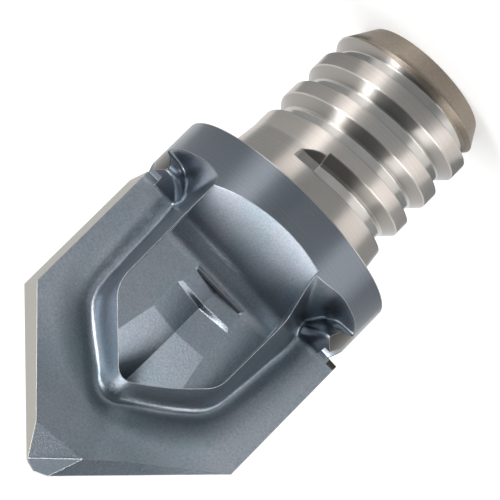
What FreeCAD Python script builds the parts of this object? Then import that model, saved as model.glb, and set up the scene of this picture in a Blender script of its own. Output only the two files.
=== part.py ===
import FreeCAD, Part
import math
import os
from FreeCAD import Vector, Rotation, Placement

# Exchangeable milling head, 90 degree point, two cutting edges, one piece of sintered carbide.
# Frame: +Z along the tool axis towards the point, origin in the middle of the collar's rear face,
# one chip face looks along -Y. The head turns positive about +Z when it cuts.

doc = FreeCAD.newDocument("milling_head")
sheet = doc.addObject("Spreadsheet::Sheet", "sizes")

# Driving dimensions, in millimetres and degrees
SIZES = [
    ("cutting_diameter", 16.0),
    ("point_angle", 90.0),
    ("edge_lead", 1.73),
    ("blade_thickness", 2.6),
    ("relief_angle", 10.0),
    ("corner_height", 12.8),
    ("blade_foot", 4.27),
    ("grinding_allowance", 0.02),
    ("core_half_width", 6.0),
    ("collar_diameter", 15.0),
    ("collar_rim", 2.1),
    ("collar_cone", 26.0),
    ("collar_rise", 0.5),
    ("taper_diameter", 10.74),
    ("taper_length", 2.6),
    ("thread_diameter", 10.06),
    ("thread_pitch", 2.38),
    ("groove_depth", 0.52),
    ("groove_width", 1.25),
    ("groove_floor", 0.55),
    ("groove_start", 2.5),
    ("groove_start_angle", 280.0),
    ("cutter_radius", 2.6),
    ("end_chamfer_start", 9.9),
    ("shank_length", 11.6),
    ("shank_end_diameter", 8.16),
    ("notch_level", 3.05),
    ("notch_radius", 4.2),
    ("notch_depth", 0.95),
    ("bar_reach_heel", 3.65),
    ("bar_level_heel", 3.7),
    ("bar_length_heel", 1.4),
    ("bar_reach_edge", 4.25),
    ("bar_level_edge", 4.05),
    ("bar_length_edge", 1.75),
    ("bar_wall", 0.25),
    ("bar_start", 3.9),
    ("bar_fade", 2.3),
    ("bar_blend", 0.45),
    ("collar_blend", 0.9),
    ("rim_half_width", 4.07),
    ("rim_shoulder", 10.05),
    ("rim_nose_height", 13.57),
    ("rim_nose_offset", 0.24),
    ("rim_far_shoulder", 10.2),
    ("rim_far_swell", 0.28),
    ("rim_swell_radius", 16.0),
    ("rim_far_half_width", 3.95),
    ("rim_far_bulge", 5.35),
    ("rim_far_waist", 2.6),
    ("rim_far_waist_half_width", 3.24),
    ("rim_shoulder_radius", 2.0),
    ("rim_nose_radius", 0.9),
    ("rim_far_radius", 1.6),
    ("rim_bulge_radius", 4.0),
    ("rim_front_depth", 2.54),
    ("rim_front_level", 12.98),
    ("rim_rise", 0.38),
    ("wall_lean_heel", 8.0),
    ("wall_lean_nose", 36.0),
    ("wall_lean_edge", 14.0),
    ("gutter_depth", 0.3),
    ("gutter_spread", 0.7),
    ("gutter_offset", 0.35),
    ("gutter_blend", 0.4),
    ("trough_depth", 0.15),
    ("trough_width", 0.9),
    ("gash_end_offset", 1.45),
    ("gash_end_height", 17.9),
    ("gash_end_depth", 1.3),
    ("gash_heel_offset", 1.52),
    ("gash_heel_height", 18.2),
    ("gash_heel_depth", 1.2),
    ("chisel_half_width", 0.74),
    ("chisel_lead", 0.6),
    ("chisel_height", 20.13),
    ("chisel_slope", 26.0),
    ("web_half_thickness", 0.08),
    ("pocket_floor", 1.86),
    ("pocket_turn", 6.0),
    ("ramp_top", 2.2),
    ("ramp_angle", 64.0),
    ("ramp_fillet", 1.8),
    ("vee_front_half_width", 3.05),
    ("vee_front_depth", 1.45),
    ("vee_crease", 9.22),
    ("vee_half_width", 2.0),
    ("vee_depth", 0.87),
    ("vee_step", 7.3),
    ("vee_step_length", 0.25),
    ("vee_rear_half_width", 1.84),
    ("vee_rear_depth", 0.55),
    ("vee_rear_end", 5.25),
    ("vee_end_slope", 0.8),
]
for row, (name, value) in enumerate(SIZES, start=1):
    sheet.set(f"A{row}", name)
    sheet.set(f"B{row}", str(value))
    sheet.setAlias(f"B{row}", name)
doc.recompute()


def size(name):
    """One driving dimension from the sheet."""
    return float(sheet.get(name))


def add_shape(name, shape):
    """A shape made by calculation, kept as an object of the document."""
    thing = doc.addObject("Part::Feature", name)
    thing.Shape = shape
    return thing


def half_turn(shape):
    """The same shape on the other side of the tool axis."""
    other = shape.copy()
    other.rotate(Vector(0, 0, 0), Vector(0, 0, 1), 180)
    return other


def rounded_wire(points, radii):
    """An open outline of straight runs, with an arc at each inner corner."""
    edges = []
    last = points[0]
    for before, corner, after, radius in zip(points, points[1:], points[2:], radii):
        to_before = (before - corner).normalize()
        to_after = (after - corner).normalize()
        half = to_before.getAngle(to_after) / 2
        reach = radius / math.tan(half)
        middle = (to_before + to_after).normalize() * (radius / math.sin(half) - radius)
        start = corner + to_before * reach
        end = corner + to_after * reach
        edges.append(Part.LineSegment(last, start).toShape())
        edges.append(Part.Arc(start, corner + middle, end).toShape())
        last = end
    edges.append(Part.LineSegment(last, points[-1]).toShape())
    return Part.Wire(edges)


# Turned body: chamfered end, thread blank, centring taper and the rear half of the collar
def turned_part(kind, name, bottom, **sizes):
    """A turned stretch of the body, bound to the sheet, with its lower face at a height."""
    thing = doc.addObject(kind, name)
    for prop, expression in sizes.items():
        thing.setExpression(prop, expression)
    thing.setExpression("Placement.Base.z", bottom)
    return thing


collar_body = turned_part(
    "Part::Cylinder", "collar_body", "0", Radius="sizes.collar_diameter / 2", Height="sizes.collar_rim"
)
taper_body = turned_part(
    "Part::Cone",
    "centring_taper",
    "-sizes.taper_length",
    Radius1="sizes.thread_diameter / 2",
    Radius2="sizes.taper_diameter / 2",
    Height="sizes.taper_length",
)
thread_body = turned_part(
    "Part::Cylinder",
    "thread_blank",
    "-sizes.end_chamfer_start",
    Radius="sizes.thread_diameter / 2",
    Height="sizes.end_chamfer_start - sizes.taper_length",
)
end_body = turned_part(
    "Part::Cone",
    "chamfered_end",
    "-sizes.shank_length",
    Radius1="sizes.shank_end_diameter / 2",
    Radius2="sizes.thread_diameter / 2",
    Height="sizes.shank_length - sizes.end_chamfer_start",
)
turned = doc.addObject("Part::MultiFuse", "turned_body")
turned.Shapes = [collar_body, taper_body, thread_body, end_body]
doc.recompute()
collar = size("collar_diameter") / 2
rim_z = size("collar_rim")
far = 2 * size("cutting_diameter")

# Blade blank: the outline of the cutting edges, leaning in behind each edge by the relief angle
lead = size("edge_lead")
edge_x = math.sqrt((size("cutting_diameter") / 2) ** 2 - lead**2)
half_point = math.radians(size("point_angle") / 2)
relief = math.tan(math.radians(size("relief_angle")))
corner_z = size("corner_height")


lean = (lead - size("chisel_lead")) / (edge_x - size("chisel_half_width"))
drop = relief / math.sin(half_point)
fall = 1 / math.tan(half_point) + drop * lean
apex_z = corner_z + edge_x / math.tan(half_point) - drop * lead + drop * lean * edge_x


def blade_outline(y):
    """The blade's outline at one depth, with every side on its relief plane."""
    right_x = edge_x - (lead - y) * relief
    left_x = edge_x - (lead + y) * relief
    right_foot = size("blade_foot") - (lead - y) * relief
    left_foot = size("blade_foot") - (lead + y) * relief
    points = [
        Vector(right_x, y, right_foot),
        Vector(right_x, y, apex_z + drop * y - fall * right_x),
        Vector(drop * y / fall, y, apex_z),
        Vector(-left_x, y, apex_z - drop * y - fall * left_x),
        Vector(-left_x, y, left_foot),
    ]
    return Part.makePolygon(points + points[:1])


side = size("cutting_diameter")
blade_body = Part.makeLoft([blade_outline(-lead * 2), blade_outline(lead * 2)], True, True)
heel = size("blade_thickness") - lead
turn = math.atan2((lead - heel) / 2, edge_x)
half_slab = (lead + heel) / 2 * math.cos(turn) + size("grinding_allowance")
slab = Part.makeBox(2 * side, 2 * half_slab, 2 * side, Vector(-side, -half_slab, 0))
slab.rotate(Vector(0, 0, 0), Vector(0, 0, 1), math.degrees(turn))
blade_body = blade_body.common(slab)

# Core blank: a prism through the blade, as deep as the collar, inside the blade's outline
core_x = size("core_half_width")
core_points = [
    Vector(core_x, -collar, size("blade_foot")),
    Vector(core_x, -collar, corner_z),
    Vector(0, -collar, corner_z + core_x / math.tan(half_point)),
    Vector(-core_x, -collar, corner_z),
    Vector(-core_x, -collar, size("blade_foot")),
]
core_body = Part.Face(Part.makePolygon(core_points + core_points[:1])).extrude(Vector(0, 2 * collar, 0))

# Neck between the collar and the blade, with a round notch under each corner of the blade
neck_round = turned_part(
    "Part::Cylinder",
    "neck_round",
    "sizes.collar_rim / 2",
    Radius="sizes.collar_diameter / 2",
    Height="sizes.blade_foot",
)
notch_x = collar - size("notch_depth")
notches = []
for name, side in (("notch_heel_side", 1), ("notch_edge_side", -1)):
    notch = turned_part(
        "Part::Cylinder",
        name,
        "sizes.notch_level + sizes.notch_radius",
        Radius="sizes.notch_radius",
        Height="sizes.notch_radius",
    )
    notch.Placement = Placement(Vector(side * notch_x, 0, 0), Rotation(Vector(0, 1, 0), side * 90))
    notches.append(notch)
neck_less_one = doc.addObject("Part::Cut", "neck_less_one_notch")
neck_less_one.Base = neck_round
neck_less_one.Tool = notches[0]
neck = doc.addObject("Part::Cut", "neck")
neck.Base = neck_less_one
neck.Tool = notches[1]
blade = add_shape("blade_body", blade_body)
core = add_shape("core_blank", core_body)
blank = doc.addObject("Part::MultiFuse", "blade_blank")
blank.Shapes = [blade, core, neck]

# Rim of the pocket, seen along Y: straight beside the heel, rounded nose, waisted beside the edge
nose = Vector(size("rim_nose_offset"), 0, size("rim_nose_height"))
far_shoulder = Vector(-size("rim_far_half_width"), 0, size("rim_far_shoulder"))
far_run = (nose - far_shoulder).normalize()
swell = (nose + far_shoulder) / 2 + Vector(-far_run.z, 0, far_run.x) * size("rim_far_swell")
rim_points = [
    Vector(size("rim_half_width"), 0, 0),
    Vector(size("rim_half_width"), 0, size("rim_shoulder")),
    nose,
    swell,
    far_shoulder,
    Vector(-size("rim_far_half_width"), 0, size("rim_far_bulge")),
    Vector(-size("rim_far_waist_half_width"), 0, size("rim_far_waist")),
    Vector(-size("rim_far_waist_half_width"), 0, 0),
]
rim_radii = [
    size("rim_shoulder_radius"),
    size("rim_nose_radius"),
    size("rim_swell_radius"),
    size("rim_far_radius"),
    size("rim_bulge_radius"),
    size("rim_bulge_radius"),
]
rim = rounded_wire(rim_points, rim_radii)


def rim_depth(z):
    """How far the rim stands from the tool axis, rising towards the collar."""
    return -size("rim_front_depth") - (size("rim_front_level") - z) * size("rim_rise")


def land_depth(x):
    """The blade's flat land, from the heel of one edge to the other edge."""
    heel = size("blade_thickness") - lead
    return -(heel + lead) / 2 + (lead - heel) / 2 * x / edge_x


def smooth_min(a, b, blend):
    """The lower of two heights, rounded where they meet."""
    mix = max(blend - abs(a - b), 0) / blend
    return min(a, b) - mix * mix * blend / 4


# Chip face: the core's leaning wall, the gutter at its foot and the land, in rows across the rim
ROW_OFFSETS = [-0.35, -0.1, 0.15, 0.4, 0.65, 0.9, 1.15, 1.45, 1.8, 2.3, 3.0, 3.8, 4.7, 6.0, 9.0]
stations = [rim.Vertexes[0].Point]
for edge in rim.OrderedEdges:
    straight = isinstance(edge.Curve, (Part.Line, Part.LineSegment))
    fine = 0.25 if edge.CenterOfMass.z < size("rim_far_bulge") else 1.0
    steps = math.ceil(edge.Length / (fine if straight else min(fine, edge.Curve.Radius / 4)))
    stations += edge.discretize(Number=steps + 1)[1:]
turns = []
for index, point in enumerate(stations):
    before = stations[max(index - 1, 0)]
    after = stations[min(index + 1, len(stations) - 1)]
    along = after - before
    turn = math.atan2(-along.x, along.z)
    turns.append(math.pi if turn < -math.pi / 2 else max(turn, 0))
for smoothing in range(3):
    turns = (
        turns[:1]
        + [(a + b + c) / 3 for a, b, c in zip(turns, turns[1:], turns[2:])]
        + turns[-1:]
    )


def ease(share):
    """A smooth rise from 0 to 1."""
    share = min(max(share, 0), 1)
    return share * share * (3 - 2 * share)


def collar_depth(x, z):
    """The collar's coned front, which climbs beside the core."""
    climb = size("collar_rise") * ease((collar - 1.9 - abs(x)) / 2.2)
    radius = collar + (rim_z + climb - z) / math.tan(math.radians(size("collar_cone")))
    return -math.sqrt(radius * radius - x * x) if radius > abs(x) else 0.0


def bar_depth(x, z):
    """The rounded bar that crosses the foot of the blade and fades out beside the core."""
    side = "heel" if x > 0 else "edge"
    reach = size(f"bar_reach_{side}") * ease((abs(x) - size("bar_start")) / size("bar_fade"))
    above = z - size(f"bar_level_{side}")
    away = above / (size("bar_wall") if above > 0 else size(f"bar_length_{side}"))
    return -reach * math.sqrt(max(1 - away * away, 0))


def wall_lean(turn):
    """Lean of the core's wall: steep beside the heel, flat before the nose."""
    side = size("wall_lean_heel") if turn < math.pi / 2 else size("wall_lean_edge")
    return side + (size("wall_lean_nose") - side) * math.sin(turn) ** 2


trough_end = Vector(-size("gash_end_offset"), 0, size("gash_end_height"))


def trough(x, z):
    """Depth of the trough that leads from the core's nose to the gash at the point."""
    run = trough_end - nose
    share = (Vector(x, 0, z) - nose).dot(run) / run.dot(run)
    away = (Vector(x, 0, z) - nose - run * min(max(share, 0.3), 1)).Length
    return size("trough_depth") * math.exp(-((away / size("trough_width")) ** 2))


rows = []
for point, turn in zip(stations, turns):
    lean = math.tan(math.radians(wall_lean(turn)))
    top = rim_depth(point.z)
    row = []
    for offset in ROW_OFFSETS:
        x = point.x + offset * math.cos(turn)
        z = point.z + offset * math.sin(turn)
        foot = (land_depth(x) - top) * lean
        from_gutter = (offset - foot - size("gutter_offset")) / size("gutter_spread")
        land = land_depth(x)
        land += size("gutter_depth") * math.exp(-from_gutter * from_gutter)
        land += trough(x, z)
        depth = smooth_min(top + offset / lean, land, size("gutter_blend"))
        depth = smooth_min(depth, bar_depth(x, z), size("bar_blend"))
        row.append(Vector(x, smooth_min(depth, collar_depth(x, z), size("collar_blend")), z))
    rows.append(row)


def even_knots(count):
    """Knots and multiplicities of a clamped cubic run over a number of control points."""
    spans = count - 3
    return list(range(spans + 1)), [4] + [1] * (spans - 1) + [4]


across_knots, across_mults = even_knots(len(rows[0]))
along_knots, along_mults = even_knots(len(rows))
face_surface = Part.BSplineSurface()
face_surface.buildFromPolesMultsKnots(
    rows, along_mults, across_mults, along_knots, across_knots, False, False, 3, 3
)
front_cut = face_surface.toShape().extrude(Vector(0, -far, 0))
if front_cut.Volume < 0:
    front_cut.reverse()
front = add_shape("chip_face_cut", front_cut)
back = add_shape("chip_face_cut_back", half_turn(front_cut))

# Pocket inside the rim: ramp down from the collar, flat floor, and a stepped vee along the axis
closing = Part.LineSegment(rim_points[-1], rim_points[0]).toShape()
rim_face = Part.Face(Part.Wire(rim.Edges + [closing]))
rim_prism = rim_face.extrude(Vector(0, -far, 0))
floor_y = -size("pocket_floor")
ramp = math.radians(size("ramp_angle"))
ramp_foot_z = size("ramp_top") + (collar + floor_y) / math.tan(ramp)
profile = rounded_wire(
    [
        Vector(0, -far, ramp_foot_z - (far + floor_y) / math.tan(ramp)),
        Vector(0, floor_y, ramp_foot_z),
        Vector(0, floor_y, far),
    ],
    [size("ramp_fillet")],
)
profile_end = Part.makePolygon([Vector(0, floor_y, far), Vector(0, -far, far), profile.Vertexes[0].Point])
profile_face = Part.Face(Part.Wire(profile.Edges + profile_end.Edges))
profile_face.translate(Vector(-far / 2, 0, 0))
floor_cut = profile_face.extrude(Vector(far, 0, 0))


def vee_section(z, half_width, depth):
    """One section of the vee, cut down from above the pocket's floor."""
    left = Vector(-half_width, floor_y, z)
    right = Vector(half_width, floor_y, z)
    bottom = Vector(0, floor_y + depth, z)
    return Part.makePolygon([left, bottom, right, left])


half_width = size("vee_half_width")
rear_half_width = size("vee_rear_half_width")
rear_depth = size("vee_rear_depth")
step_z = size("vee_step")
rear_z = size("vee_rear_end")
vee_cut = Part.makeLoft(
    [
        vee_section(size("rim_nose_height") + 1, size("vee_front_half_width"), size("vee_front_depth")),
        vee_section(size("vee_crease"), half_width, size("vee_depth")),
        vee_section(step_z, half_width, size("vee_depth")),
        vee_section(step_z - size("vee_step_length"), rear_half_width, rear_depth),
        vee_section(rear_z, rear_half_width, rear_depth),
        vee_section(rear_z - size("vee_end_slope"), rear_half_width * 0.8, 0.04),
    ],
    True,
    True,
)
floor_all = floor_cut.fuse(vee_cut)
floor_all.rotate(Vector(0, 0, 0), Vector(0, 0, 1), -size("pocket_turn"))
pocket_cut = rim_prism.common(floor_all)
pocket = add_shape("pocket_cut", pocket_cut)
pocket_back = add_shape("pocket_cut_back", half_turn(pocket_cut))

# Gash at the point: a rake facet to each side of it and a wall across the web
def in_front_of(first, second, third):
    """Space on the -Y side of the plane through three points."""
    normal = (second - first).cross(third - first).normalize()
    if normal.y > 0:
        normal = normal * -1
    side = 4 * size("cutting_diameter")
    block = Part.makeBox(side, side, side, Vector(-side / 2, -side / 2, 0))
    block.Placement = Placement(first, Rotation(Vector(0, 0, 1), normal))
    return block


edge_corner = Vector(-edge_x, -lead, corner_z)
edge_end_z = corner_z + (edge_x - size("chisel_half_width")) / math.tan(half_point)
edge_end = Vector(-size("chisel_half_width"), -size("chisel_lead"), edge_end_z)
gash_end = Vector(-size("gash_end_offset"), -size("gash_end_depth"), size("gash_end_height"))
web_middle = Vector(0, -size("web_half_thickness"), size("chisel_height"))
heel_end = Vector(size("gash_heel_offset"), -size("gash_heel_depth"), size("gash_heel_height"))
across = (web_middle - edge_end).cross(gash_end - edge_end)
web_x = size("chisel_half_width")
web_end_y = web_middle.y - across.x * web_x / across.y
web_end = Vector(web_x, web_end_y, apex_z + drop * web_end_y - fall * web_x)
rake = in_front_of(edge_corner, edge_end, gash_end)
thinning = in_front_of(edge_end, web_middle, gash_end).common(in_front_of(heel_end, gash_end, web_end))
gash_cut = rake.fuse(thinning)
gash = add_shape("gash_cut", gash_cut)
gash_back = add_shape("gash_cut_back", half_turn(gash_cut))

# Chisel edge: two small facets that blunt the very point
facet = doc.addObject("Part::Box", "chisel_facet")
facet_back = doc.addObject("Part::Box", "chisel_facet_back")
for box in (facet, facet_back):
    box.setExpression("Length", "sizes.cutting_diameter")
    box.setExpression("Width", "sizes.cutting_diameter / 2")
    box.setExpression("Height", "sizes.cutting_diameter / 2")
middle = Placement(Vector(-size("cutting_diameter") / 2, -size("cutting_diameter") / 4, 0), Rotation())
slope = Rotation(Vector(0, 1, 0), -size("chisel_slope"))
tilt = Rotation(Vector(1, 0, 0), -size("relief_angle"))
facet.Placement = Placement(Vector(0, 0, size("chisel_height")), slope * tilt) * middle
facet_back.Placement = Placement(Vector(), Rotation(Vector(0, 0, 1), 180)) * facet.Placement

# Thread groove: flat floor, steep wall towards the collar, sloped wall towards the end
pitch = size("thread_pitch")
crest = size("thread_diameter") / 2
root = crest - size("groove_depth")
start_angle = size("groove_start_angle")
over = 0.3
groove_top = size("groove_width") / 2
wall_slope = (size("groove_width") - size("groove_floor")) * 0.75 / size("groove_depth")
groove_points = [
    Vector(root, 0, groove_top - 0.1),
    Vector(crest + over, 0, groove_top + 0.1),
    Vector(crest + over, 0, -groove_top - over * wall_slope),
    Vector(root, 0, groove_top - 0.1 - size("groove_floor")),
]
groove_wire = Part.makePolygon(groove_points + groove_points[:1])
groove_span = size("shank_length") - size("groove_start") + pitch
helix = Part.makeLongHelix(pitch, groove_span, crest)
groove = Part.Wire(helix.Edges).makePipeShell([groove_wire], True, True)
groove.translate(Vector(0, 0, -size("groove_start") - groove_span))
end_turn = start_angle - 360.0 * groove_span / pitch
groove.rotate(Vector(0, 0, 0), Vector(0, 0, 1), end_turn)
cutter_x = root + size("cutter_radius")
run_out_points = [
    Vector(root, 0, groove_top - 0.1),
    Vector(root + 0.9, 0, groove_top + 0.1),
    Vector(cutter_x, 0, groove_top + 0.1),
    Vector(cutter_x, 0, groove_top - 0.1 - size("groove_floor") - 0.9 * wall_slope),
    Vector(root + 0.9, 0, groove_top - 0.1 - size("groove_floor") - 0.9 * wall_slope),
    Vector(root, 0, groove_top - 0.1 - size("groove_floor")),
]
run_out = Part.Face(Part.makePolygon(run_out_points + run_out_points[:1]))
run_out.translate(Vector(0, 0, -size("groove_start")))
run_out = run_out.revolve(Vector(cutter_x, 0, 0), Vector(0, 0, 1), 360)
helix_angle = math.degrees(math.atan2(pitch, 2 * math.pi * crest))
run_out.rotate(Vector(root, 0, -size("groove_start")), Vector(1, 0, 0), helix_angle)
run_out.rotate(Vector(0, 0, 0), Vector(0, 0, 1), start_angle)
thread = add_shape("thread_groove", groove)
thread_end = add_shape("thread_run_out", run_out)

# The head: blade with both chip faces and gashes, turned body, then pockets and thread
def joined(kind, name, base, tool):
    """A boolean of two objects of the document."""
    thing = doc.addObject(kind, name)
    thing.Base = base
    thing.Tool = tool
    return thing


spade = blank
for tool in (front, back, gash, gash_back, facet, facet_back):
    spade = joined("Part::Cut", f"blade_after_{tool.Name}", spade, tool)
head = joined("Part::Fuse", "blade_on_turned_body", spade, turned)
for tool in (pocket, pocket_back, thread_end, thread):
    head = joined("Part::Cut", f"head_after_{tool.Name}", head, tool)
head.Label = "milling_head"
doc.recompute()

for thing in doc.Objects:
    if "Invalid" in thing.State or "Error" in thing.State:
        raise RuntimeError(f"{thing.Name} failed")
if head.Shape.isNull() or not head.Shape.isValid():
    raise RuntimeError("the head's shape is not valid")
box = head.Shape.optimalBoundingBox()
print("solids", len(head.Shape.Solids), "volume", round(head.Shape.Volume, 2), box)
os.makedirs("parts", exist_ok=True)
head.Shape.exportStep("parts/milling_head.step")
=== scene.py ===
import math

import bpy
from mathutils import Matrix, Vector


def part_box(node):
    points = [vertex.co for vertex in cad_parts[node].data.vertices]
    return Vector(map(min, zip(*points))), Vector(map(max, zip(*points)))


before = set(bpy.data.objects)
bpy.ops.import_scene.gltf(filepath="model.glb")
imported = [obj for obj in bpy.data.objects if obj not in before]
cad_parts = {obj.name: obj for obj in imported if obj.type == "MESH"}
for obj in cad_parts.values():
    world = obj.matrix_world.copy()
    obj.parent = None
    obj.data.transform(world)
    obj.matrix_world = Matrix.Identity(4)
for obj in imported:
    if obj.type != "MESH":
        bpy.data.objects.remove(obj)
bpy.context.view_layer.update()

# Milling head
# One piece of sintered tungsten carbide. The blade, core and collar keep the grain of the pressing
# die under a thin blue-grey coating; the taper and the thread behind the collar are ground bare.
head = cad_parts["milling_head"]
MM = 0.001


def linear(code):
    """A colour written as sRGB hex, as the linear values that a shader takes."""
    parts = [int(code[start : start + 2], 16) / 255 for start in (0, 2, 4)]
    return [p / 12.92 if p <= 0.04045 else ((p + 0.055) / 1.055) ** 2.4 for p in parts] + [1.0]


def add_node(tree, kind, feeds=None, **settings):
    """Adds a node. Settings are its properties; feeds gives each socket a value or another's output."""
    node = tree.nodes.new(kind)
    for name, value in settings.items():
        setattr(node, name, value)
    for name, source in (feeds or {}).items():
        if isinstance(source, bpy.types.NodeSocket):
            tree.links.new(source, node.inputs[name])
        else:
            node.inputs[name].default_value = source
    return node


def new_material(name):
    """An empty material with its output node."""
    material = bpy.data.materials.new(name)
    material.use_nodes = True
    material.node_tree.nodes.clear()
    return material, material.node_tree, material.node_tree.nodes.new("ShaderNodeOutputMaterial")


# Sintered carbide is a dense grey metal. Its coating, a few microns thick, gives it a satin
# blue-grey with a fine grain; where it is ground bare it is warmer, and streaked round the axis.
# In a Mix node, sockets 2 and 3 are the two numbers and 6 and 7 the two colours. In a Map Range
# node, 1 and 2 are the range read and 3 and 4 the range given.
carbide, tree, output = new_material("sintered_carbide_coated_and_ground")
place = add_node(tree, "ShaderNodeTexCoord").outputs["Object"]
axes = add_node(tree, "ShaderNodeSeparateXYZ", {0: place}).outputs
level = axes["Z"]
across = add_node(tree, "ShaderNodeCombineXYZ", {"X": axes["X"], "Y": axes["Y"]}).outputs[0]
radius = add_node(tree, "ShaderNodeVectorMath", {0: across}, operation="LENGTH").outputs["Value"]

# The coating ends at the rear edge of the collar, whose outside is ground to 15 mm across
COATING_END = 0.05 * MM
COLLAR_SKIN = 7.45 * MM
COLLAR_TOP = 4.6 * MM
coated = add_node(tree, "ShaderNodeMath", {0: level, 1: COATING_END}, operation="GREATER_THAN").outputs[0]
bare = add_node(tree, "ShaderNodeMath", {0: 1.0, 1: coated}, operation="SUBTRACT").outputs[0]
outside = add_node(tree, "ShaderNodeMath", {0: radius, 1: COLLAR_SKIN}, operation="GREATER_THAN").outputs[0]
low = add_node(tree, "ShaderNodeMath", {0: level, 1: COLLAR_TOP}, operation="LESS_THAN").outputs[0]
outside = add_node(tree, "ShaderNodeMath", {0: outside, 1: low}, operation="MULTIPLY").outputs[0]
on_collar = add_node(tree, "ShaderNodeMath", {0: outside, 1: coated}, operation="MULTIPLY").outputs[0]
turned = add_node(tree, "ShaderNodeMath", {0: on_collar, 1: bare}, operation="MAXIMUM").outputs[0]

# The flanks behind the cutting edges are ground through the coating: an upright one from the blade's
# foot, and a slanted one up to the point. Each is found by the direction that it faces and how far
# out it lies. The head is the same after half a turn, so both sides are tested in one half.
UPRIGHT_FACING = (1, -0.1763, 0)
UPRIGHT_OUT = 7.475 * MM
SLANTED_FACING = (1.0398, -0.2494, 0)
SLANTED_OUT = 20.45 * MM
BLADE_FOOT = 3.9 * MM
side = add_node(tree, "ShaderNodeMath", {0: axes["X"]}, operation="SIGN").outputs[0]
half = add_node(tree, "ShaderNodeVectorMath", {0: across, "Scale": side}, operation="SCALE").outputs[0]
out_x = add_node(tree, "ShaderNodeMath", {0: axes["X"]}, operation="ABSOLUTE").outputs[0]
to_side = add_node(tree, "ShaderNodeVectorMath", {0: half, 1: UPRIGHT_FACING}, operation="DOT_PRODUCT")
to_side = to_side.outputs["Value"]
beside = add_node(tree, "ShaderNodeMath", {0: to_side, 1: UPRIGHT_OUT}, operation="GREATER_THAN").outputs[0]
above = add_node(tree, "ShaderNodeMath", {0: level, 1: BLADE_FOOT}, operation="GREATER_THAN").outputs[0]
beside = add_node(tree, "ShaderNodeMath", {0: beside, 1: above}, operation="MULTIPLY").outputs[0]
to_slant = add_node(tree, "ShaderNodeVectorMath", {0: half, 1: SLANTED_FACING}, operation="DOT_PRODUCT")
to_slant = add_node(tree, "ShaderNodeMath", {0: to_slant.outputs["Value"], 1: level}).outputs[0]
slanted = add_node(
    tree, "ShaderNodeMath", {0: to_slant, 1: SLANTED_OUT}, operation="GREATER_THAN"
).outputs[0]
flank = add_node(tree, "ShaderNodeMath", {0: beside, 1: slanted}, operation="MAXIMUM").outputs[0]

# The two necks beside the bowls are ground with the collar; their dark colour is painted shade
NECK_BOTTOM = 2.3 * MM
NECK_INSIDE = 5.9 * MM
painted_neck_shade = add_node(tree, "ShaderNodeMath", {0: level, 1: NECK_BOTTOM}, operation="GREATER_THAN").outputs[0]
painted_neck_shade = add_node(tree, "ShaderNodeMath", {0: painted_neck_shade, 1: on_collar}, operation="MULTIPLY").outputs[0]
wide = add_node(tree, "ShaderNodeMath", {0: out_x, 1: NECK_INSIDE}, operation="GREATER_THAN").outputs[0]
painted_neck_shade = add_node(tree, "ShaderNodeMath", {0: painted_neck_shade, 1: wide}, operation="MULTIPLY").outputs[0]

# The thread groove is milled smoother than its crests are ground. Its walls are darker than its root,
# and the end is chamfered with a coarser wheel.
CREST_SKIN = 4.97 * MM
ROOT_SKIN = 4.47 * MM
CHAMFER_START = -9.9 * MM
groove = add_node(tree, "ShaderNodeMath", {0: radius, 1: CREST_SKIN}, operation="LESS_THAN").outputs[0]
root = add_node(tree, "ShaderNodeMath", {0: radius, 1: ROOT_SKIN}, operation="LESS_THAN").outputs[0]
chamfer = add_node(tree, "ShaderNodeMath", {0: level, 1: CHAMFER_START}, operation="LESS_THAN").outputs[0]

# Grain of the pressed and sintered powder, about 0.12 mm, which breaks up the satin gloss
GRAIN = 0.12 * MM
grain = add_node(tree, "ShaderNodeTexNoise", {"Vector": place, "Scale": 1 / GRAIN, "Detail": 3.0}).outputs[0]

# Clouds some 2.5 mm across, where the coating is a little thicker or thinner and turns in colour
CLOUD = 2.5 * MM
cloud = add_node(tree, "ShaderNodeTexNoise", {"Vector": place, "Scale": 1 / CLOUD, "Detail": 2.0}).outputs[0]

# Rings left by the grinding wheel, about 0.06 mm apart along the tool axis
RING = 0.06 * MM
along = add_node(tree, "ShaderNodeCombineXYZ", {"Z": level}).outputs[0]
rings = add_node(tree, "ShaderNodeTexNoise", {"Vector": along, "Scale": 1 / RING, "Detail": 4.0}).outputs[0]

# The coating is blue-grey and turns to teal in the clouds
blue = add_node(
    tree, "ShaderNodeMix", {0: grain, 6: linear("7B818A"), 7: linear("ACB1BA")}, data_type="RGBA"
)
teal = add_node(
    tree, "ShaderNodeMix", {0: grain, 6: linear("748089"), 7: linear("A4AEB6")}, data_type="RGBA"
)
patchy = add_node(tree, "ShaderNodeMapRange", {0: cloud, 1: 0.4, 2: 0.65})
coat = add_node(
    tree, "ShaderNodeMix", {0: patchy.outputs[0], 6: blue.outputs[2], 7: teal.outputs[2]}, data_type="RGBA"
)

# Painted shade: the hollows and the bowls, found by ambient occlusion, are darkened towards a dark greenish
# grey
HOLLOW_REACH = 2.2 * MM
open_sky = add_node(
    tree, "ShaderNodeAmbientOcclusion", {"Distance": HOLLOW_REACH}, samples=8
).outputs["AO"]
shaded = add_node(tree, "ShaderNodeMapRange", {0: open_sky, 1: 0.75, 2: 0.3, 3: 0.0, 4: 0.45}).outputs[0]
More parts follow.
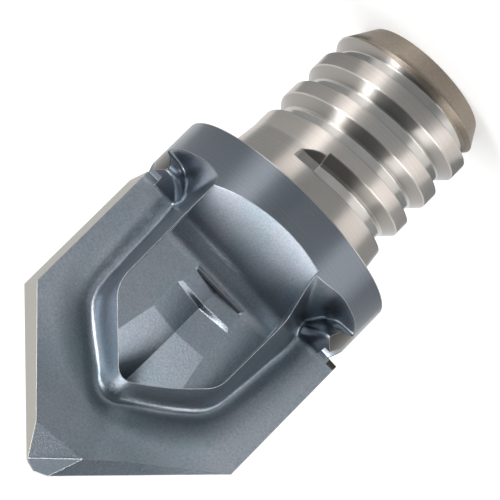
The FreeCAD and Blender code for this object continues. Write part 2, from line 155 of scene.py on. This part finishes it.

# The same painted shade lies in the chip gutter, which runs up both sides of the pocket some 5 to 7 mm
# from the middle and bends over it in half an ellipse above 8 mm. It fades in over its inner and outer
# borders.
BEND_LEVEL = 8 * MM
BEND_SQUASH = 5 / 6
past_bend = add_node(tree, "ShaderNodeMath", {0: level, 1: BEND_LEVEL}, operation="SUBTRACT").outputs[0]
past_bend = add_node(tree, "ShaderNodeMath", {0: past_bend, 1: 0.0}, operation="MAXIMUM").outputs[0]
past_bend = add_node(tree, "ShaderNodeMath", {0: past_bend, 1: BEND_SQUASH}, operation="MULTIPLY").outputs[0]
oval = add_node(tree, "ShaderNodeCombineXYZ", {"X": out_x, "Y": past_bend}).outputs[0]
oval = add_node(tree, "ShaderNodeVectorMath", {0: oval}, operation="LENGTH").outputs["Value"]
inner = add_node(
    tree, "ShaderNodeMapRange", {0: oval, 1: 4.7 * MM, 2: 5.1 * MM}, interpolation_type="SMOOTHSTEP"
)
outer = add_node(
    tree, "ShaderNodeMapRange", {0: oval, 1: 7.4 * MM, 2: 5.6 * MM}, interpolation_type="SMOOTHSTEP"
)
gutter = add_node(
    tree, "ShaderNodeMath", {0: inner.outputs[0], 1: outer.outputs[0]}, operation="MULTIPLY"
).outputs[0]

# The painted shade is darkest over the pocket and paler beside the cutting edge. Beside the heel, where x
# times y is below nought on both faces, it isn't darkened at all.
heel_side = add_node(tree, "ShaderNodeMath", {0: axes["X"], 1: axes["Y"]}, operation="MULTIPLY").outputs[0]
heel_side = add_node(tree, "ShaderNodeMapRange", {0: heel_side, 1: 0.0, 2: -1e-6}).outputs[0]
upper = add_node(
    tree, "ShaderNodeMapRange", {0: level, 1: 9 * MM, 2: 12.5 * MM}, interpolation_type="SMOOTHSTEP"
)
fade = add_node(tree, "ShaderNodeMix", {0: heel_side, 2: 0.4, 3: 0.0}).outputs[0]
fade = add_node(tree, "ShaderNodeMix", {0: upper.outputs[0], 2: fade, 3: 0.6}).outputs[0]
gutter = add_node(tree, "ShaderNodeMath", {0: gutter, 1: fade}, operation="MULTIPLY").outputs[0]
painted_shade = add_node(tree, "ShaderNodeMath", {0: shaded, 1: gutter}, operation="MAXIMUM").outputs[0]

# Painted shade: inside the pocket, above its ramp, it is a little darker than on the land
pocket = add_node(
    tree, "ShaderNodeMapRange", {0: oval, 1: 4.9 * MM, 2: 4.5 * MM, 3: 0.0, 4: 0.27}
).outputs[0]
raised = add_node(tree, "ShaderNodeMapRange", {0: level, 1: 4 * MM, 2: 5.5 * MM}).outputs[0]
pocket = add_node(tree, "ShaderNodeMath", {0: pocket, 1: raised}, operation="MULTIPLY").outputs[0]
painted_shade = add_node(tree, "ShaderNodeMath", {0: painted_shade, 1: pocket}, operation="MAXIMUM").outputs[0]

# Painted shade: towards the point the coating is darkened a little
point = add_node(tree, "ShaderNodeMapRange", {0: level, 1: 13 * MM, 2: 16 * MM, 3: 0.0, 4: 0.45}).outputs[0]
painted_shade = add_node(tree, "ShaderNodeMath", {0: painted_shade, 1: point}, operation="MAXIMUM").outputs[0]
# All the painted shade above is mixed in as a dark greenish grey
coat = add_node(
    tree, "ShaderNodeMix", {0: painted_shade, 6: coat.outputs[2], 7: linear("38454D")}, data_type="RGBA"
)

# The collar's outside is darker and ringed, the flanks a warm pale grey; the necks' dark brown-grey is
# painted shade
ringed = add_node(
    tree, "ShaderNodeMix", {0: rings, 6: linear("5F656C"), 7: linear("868C93")}, data_type="RGBA"
)
coat = add_node(
    tree, "ShaderNodeMix", {0: on_collar, 6: coat.outputs[2], 7: ringed.outputs[2]}, data_type="RGBA"
)
coat = add_node(tree, "ShaderNodeMix", {0: painted_neck_shade, 6: coat.outputs[2], 7: linear("4B4844")}, data_type="RGBA")
coat = add_node(tree, "ShaderNodeMix", {0: flank, 6: coat.outputs[2], 7: linear("A9A69E")}, data_type="RGBA")

# Bare carbide is a warm pale grey: ringed on the crests, even in the groove, brown on the chamfer
crest = add_node(
    tree, "ShaderNodeMix", {0: rings, 6: linear("A49D97"), 7: linear("E0D8D1")}, data_type="RGBA"
)
metal = add_node(
    tree, "ShaderNodeMix", {0: groove, 6: crest.outputs[2], 7: linear("A19D99")}, data_type="RGBA"
)
metal = add_node(
    tree, "ShaderNodeMix", {0: root, 6: metal.outputs[2], 7: linear("C6C2BD")}, data_type="RGBA"
)
brown = add_node(
    tree, "ShaderNodeMix", {0: grain, 6: linear("81766A"), 7: linear("A4998C")}, data_type="RGBA"
)
metal = add_node(
    tree, "ShaderNodeMix", {0: chamfer, 6: metal.outputs[2], 7: brown.outputs[2]}, data_type="RGBA"
)
colour = add_node(
    tree, "ShaderNodeMix", {0: coated, 6: metal.outputs[2], 7: coat.outputs[2]}, data_type="RGBA"
)

# Edges are rounded by 0.07 mm, and carry a painted highlight, a little brighter, where they stand proud
EDGE_ROUNDING = 0.07 * MM
edges = add_node(tree, "ShaderNodeBevel", {"Radius": EDGE_ROUNDING}, samples=6).outputs[0]
flat_on = add_node(tree, "ShaderNodeNewGeometry").outputs["Normal"]
bend = add_node(
    tree, "ShaderNodeVectorMath", {0: edges, 1: flat_on}, operation="DOT_PRODUCT"
).outputs["Value"]
painted_edge_highlight = add_node(tree, "ShaderNodeMapRange", {0: bend, 1: 0.995, 2: 0.9, 3: 0.0, 4: 0.5}).outputs[0]
proud = add_node(tree, "ShaderNodeMapRange", {0: open_sky, 1: 0.6, 2: 0.9}).outputs[0]
painted_edge_highlight = add_node(tree, "ShaderNodeMath", {0: painted_edge_highlight, 1: proud}, operation="MULTIPLY").outputs[0]
colour = add_node(
    tree, "ShaderNodeMix", {0: painted_edge_highlight, 6: colour.outputs[2], 7: linear("D0D2D4")}, data_type="RGBA"
)

# Satin all over: smoothest in the groove and on the coating, coarser on the flanks and the chamfer
rough = add_node(tree, "ShaderNodeMix", {0: groove, 2: 0.34, 3: 0.28}).outputs[0]
rough = add_node(tree, "ShaderNodeMix", {0: chamfer, 2: rough, 3: 0.5}).outputs[0]
rough = add_node(tree, "ShaderNodeMix", {0: coated, 2: rough, 3: 0.3}).outputs[0]
rough = add_node(tree, "ShaderNodeMix", {0: flank, 2: rough, 3: 0.42}).outputs[0]

# The relief is grain on the coating, and rings where the head is ground round its axis
RELIEF = 0.016 * MM
relief = add_node(tree, "ShaderNodeMix", {0: turned, 2: grain, 3: rings}).outputs[0]
bump = add_node(
    tree,
    "ShaderNodeBump",
    {"Height": relief, "Normal": edges, "Strength": 0.45, "Distance": RELIEF},
).outputs[0]

# Grinding rings spread a reflection along the tool axis, so that it runs as a band down the shank
spread = add_node(tree, "ShaderNodeMapRange", {0: turned, 3: 0.0, 4: 0.85}).outputs[0]
axial = add_node(tree, "ShaderNodeTangent", direction_type="RADIAL", axis="Z").outputs[0]
shader = add_node(
    tree,
    "ShaderNodeBsdfPrincipled",
    {
        "Base Color": colour.outputs[2],
        "Metallic": 1.0,
        "Roughness": rough,
        "Normal": bump,
        "Anisotropic": spread,
        "Anisotropic Rotation": 0.25,
        "Tangent": axial,
    },
)
tree.links.new(shader.outputs[0], output.inputs["Surface"])
head.data.materials.clear()
head.data.materials.append(carbide)

# Floor
# A wide sheet of white card under the shank end, on which the head stands upright. It shows white,
# keeps a faint soft shadow, and is plain white in the head's gloss.
FLOOR_WIDTH = 4.0
floor_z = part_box("milling_head")[0].z
bpy.ops.mesh.primitive_plane_add(size=FLOOR_WIDTH, location=(0, 0, floor_z))
floor = bpy.context.object
floor.name = "floor"
card, tree, output = new_material("white_card_matt")
diffuse = add_node(tree, "ShaderNodeBsdfDiffuse", {"Color": linear("BCBCBC")}).outputs[0]
glow = add_node(tree, "ShaderNodeEmission", {"Strength": 0.5}).outputs[0]
white = add_node(tree, "ShaderNodeEmission", {"Strength": 1.0}).outputs[0]
lit = add_node(tree, "ShaderNodeAddShader", {0: diffuse, 1: glow}).outputs[0]
rays = add_node(tree, "ShaderNodeLightPath").outputs
shown = add_node(tree, "ShaderNodeMixShader", {0: rays["Is Camera Ray"], 1: diffuse, 2: lit}).outputs[0]
clear = rays["Is Transmission Ray"]
mirrored = add_node(tree, "ShaderNodeMath", {0: rays["Is Glossy Ray"], 1: clear}, operation="MAXIMUM")
shown = add_node(tree, "ShaderNodeMixShader", {0: mirrored.outputs[0], 1: shown, 2: white}).outputs[0]
tree.links.new(shown, output.inputs["Surface"])
floor.data.materials.append(card)

# Studio
# White surroundings, a tall strip light to each side of the camera and a soft box over the point.
# Sheets of grey felt over the camera and on the floor show only in the head's gloss. They give the
# coating its deep tones and leave two pale bands on the shank.
scene = bpy.context.scene
scene.view_settings.view_transform = "Standard"
world = bpy.data.worlds.new("white_surroundings")
world.use_nodes = True
scene.world = world
tree = world.node_tree
rays = add_node(tree, "ShaderNodeLightPath").outputs
seen = add_node(
    tree, "ShaderNodeMath", {0: rays["Is Camera Ray"], 1: rays["Is Glossy Ray"]}, operation="MAXIMUM"
)
seen = add_node(
    tree, "ShaderNodeMath", {0: seen.outputs[0], 1: rays["Is Transmission Ray"]}, operation="MAXIMUM"
)
strength = add_node(tree, "ShaderNodeMapRange", {0: seen.outputs[0], 3: 0.4, 4: 1.0}).outputs[0]
tree.links.new(strength, tree.nodes["Background"].inputs["Strength"])
tree.nodes["Background"].inputs["Color"].default_value = (1, 1, 1, 1)

middle = Vector((0, 0, 4 * MM))


def facing(azimuth, elevation, away):
    """A place in the studio, by the side and height it is seen at, turned towards the head."""
    a = math.radians(azimuth)
    e = math.radians(elevation)
    out = Vector((math.sin(a) * math.cos(e), -math.cos(a) * math.cos(e), math.sin(e)))
    return middle + out * away, (-out).to_track_quat("-Z", "Y")


def soft_light(name, azimuth, elevation, away, width, height, power):
    """A soft rectangular light: degrees, then metres away, wide and high, then watts."""
    lamp = bpy.data.lights.new(name, "AREA")
    lamp.shape = "RECTANGLE"
    lamp.size = width
    lamp.size_y = height
    lamp.energy = power
    light = bpy.data.objects.new(name, lamp)
    light.rotation_mode = "QUATERNION"
    light.location, light.rotation_quaternion = facing(azimuth, elevation, away)
    scene.collection.objects.link(light)


soft_light("strip_light_heel_side", 43, 36, 0.4, 0.14, 0.42, 1.4)
soft_light("strip_light_edge_side", -68, 28, 0.4, 0.28, 0.45, 0.9)
soft_light("soft_box_over_point", 180, 74, 0.4, 0.28, 0.24, 1.1)

cloth, tree, output = new_material("grey_felt")
felt = add_node(tree, "ShaderNodeBsdfDiffuse", {"Color": linear("777D80")}).outputs[0]
tree.links.new(felt, output.inputs["Surface"])


def felt_sheet(name, corners):
    """A flat sheet of grey felt, cut to its corners, which shows only in the gloss of the head."""
    outline = bpy.data.meshes.new(name)
    outline.from_pydata(corners, [], [list(range(len(corners)))])
    sheet = bpy.data.objects.new(name, outline)
    sheet.visible_camera = False
    sheet.visible_diffuse = False
    sheet.visible_shadow = False
    sheet.data.materials.append(cloth)
    scene.collection.objects.link(sheet)


FELT_LEVEL = floor_z + 1 * MM


def on_floor(azimuth, away):
    """A place on the felt's level by its side and its distance from the tool axis."""
    a = math.radians(azimuth)
    return Vector((math.sin(a) * away, -math.cos(a) * away, FELT_LEVEL))


# A screen over the camera, 0.42 m wide and 0.5 m high
seat, turn = facing(-12, 50, 0.35)
screen = [(-0.21, -0.25), (0.21, -0.25), (0.21, 0.25), (-0.21, 0.25)]
felt_sheet("screen_over_camera", [seat + turn @ Vector((x, y, 0)) for x, y in screen])

# Fans of felt on the floor; the white floor between them is mirrored as two pale bands on the shank
FAN_INSIDE = 5 * MM
FAN_OUTSIDE = 50 * MM
FAN_STEPS = 8
for name, first, last in (("front", -44, 28), ("heel", 58, 130), ("edge", -150, -92)):
    sides = [first + (last - first) * step / FAN_STEPS for step in range(FAN_STEPS + 1)]
    rim = [on_floor(a, FAN_OUTSIDE) for a in sides]
    felt_sheet("fan_" + name, [on_floor(a, FAN_INSIDE) for a in sides] + rim[::-1])

# A mat further out on the floor, which keeps the land all round the pocket dark
mat = [(2, -112), (102, -112), (102, -57), (2, -57)]
felt_sheet("mat_far", [Vector((x * MM, y * MM, FELT_LEVEL)) for x, y in mat])

# Camera
# It looks down on one chip face and is rolled, so that the point is at the lower left. Its long lens
# gives the picture about 17.8 pixels to the millimetre.
target = Vector((0.195, 0, 2.635)) * MM
tilt = math.radians(13.5)
distance = 175.7 * MM
across = Vector((1, 0, 0))
upright = Vector((0, math.sin(tilt), math.cos(tilt)))
back = across.cross(upright)
right = (-across - upright).normalized()
up = (across - upright).normalized()
camera_data = bpy.data.cameras.new("camera")
camera_data.sensor_width = 36.0
camera_data.lens = 224.7
camera_data.clip_start = 0.01
camera = bpy.data.objects.new("camera", camera_data)
scene.collection.objects.link(camera)
turned_to = Matrix((right, up, back)).transposed().to_4x4()
camera.matrix_world = Matrix.Translation(target + back * distance) @ turned_to
scene.camera = camera
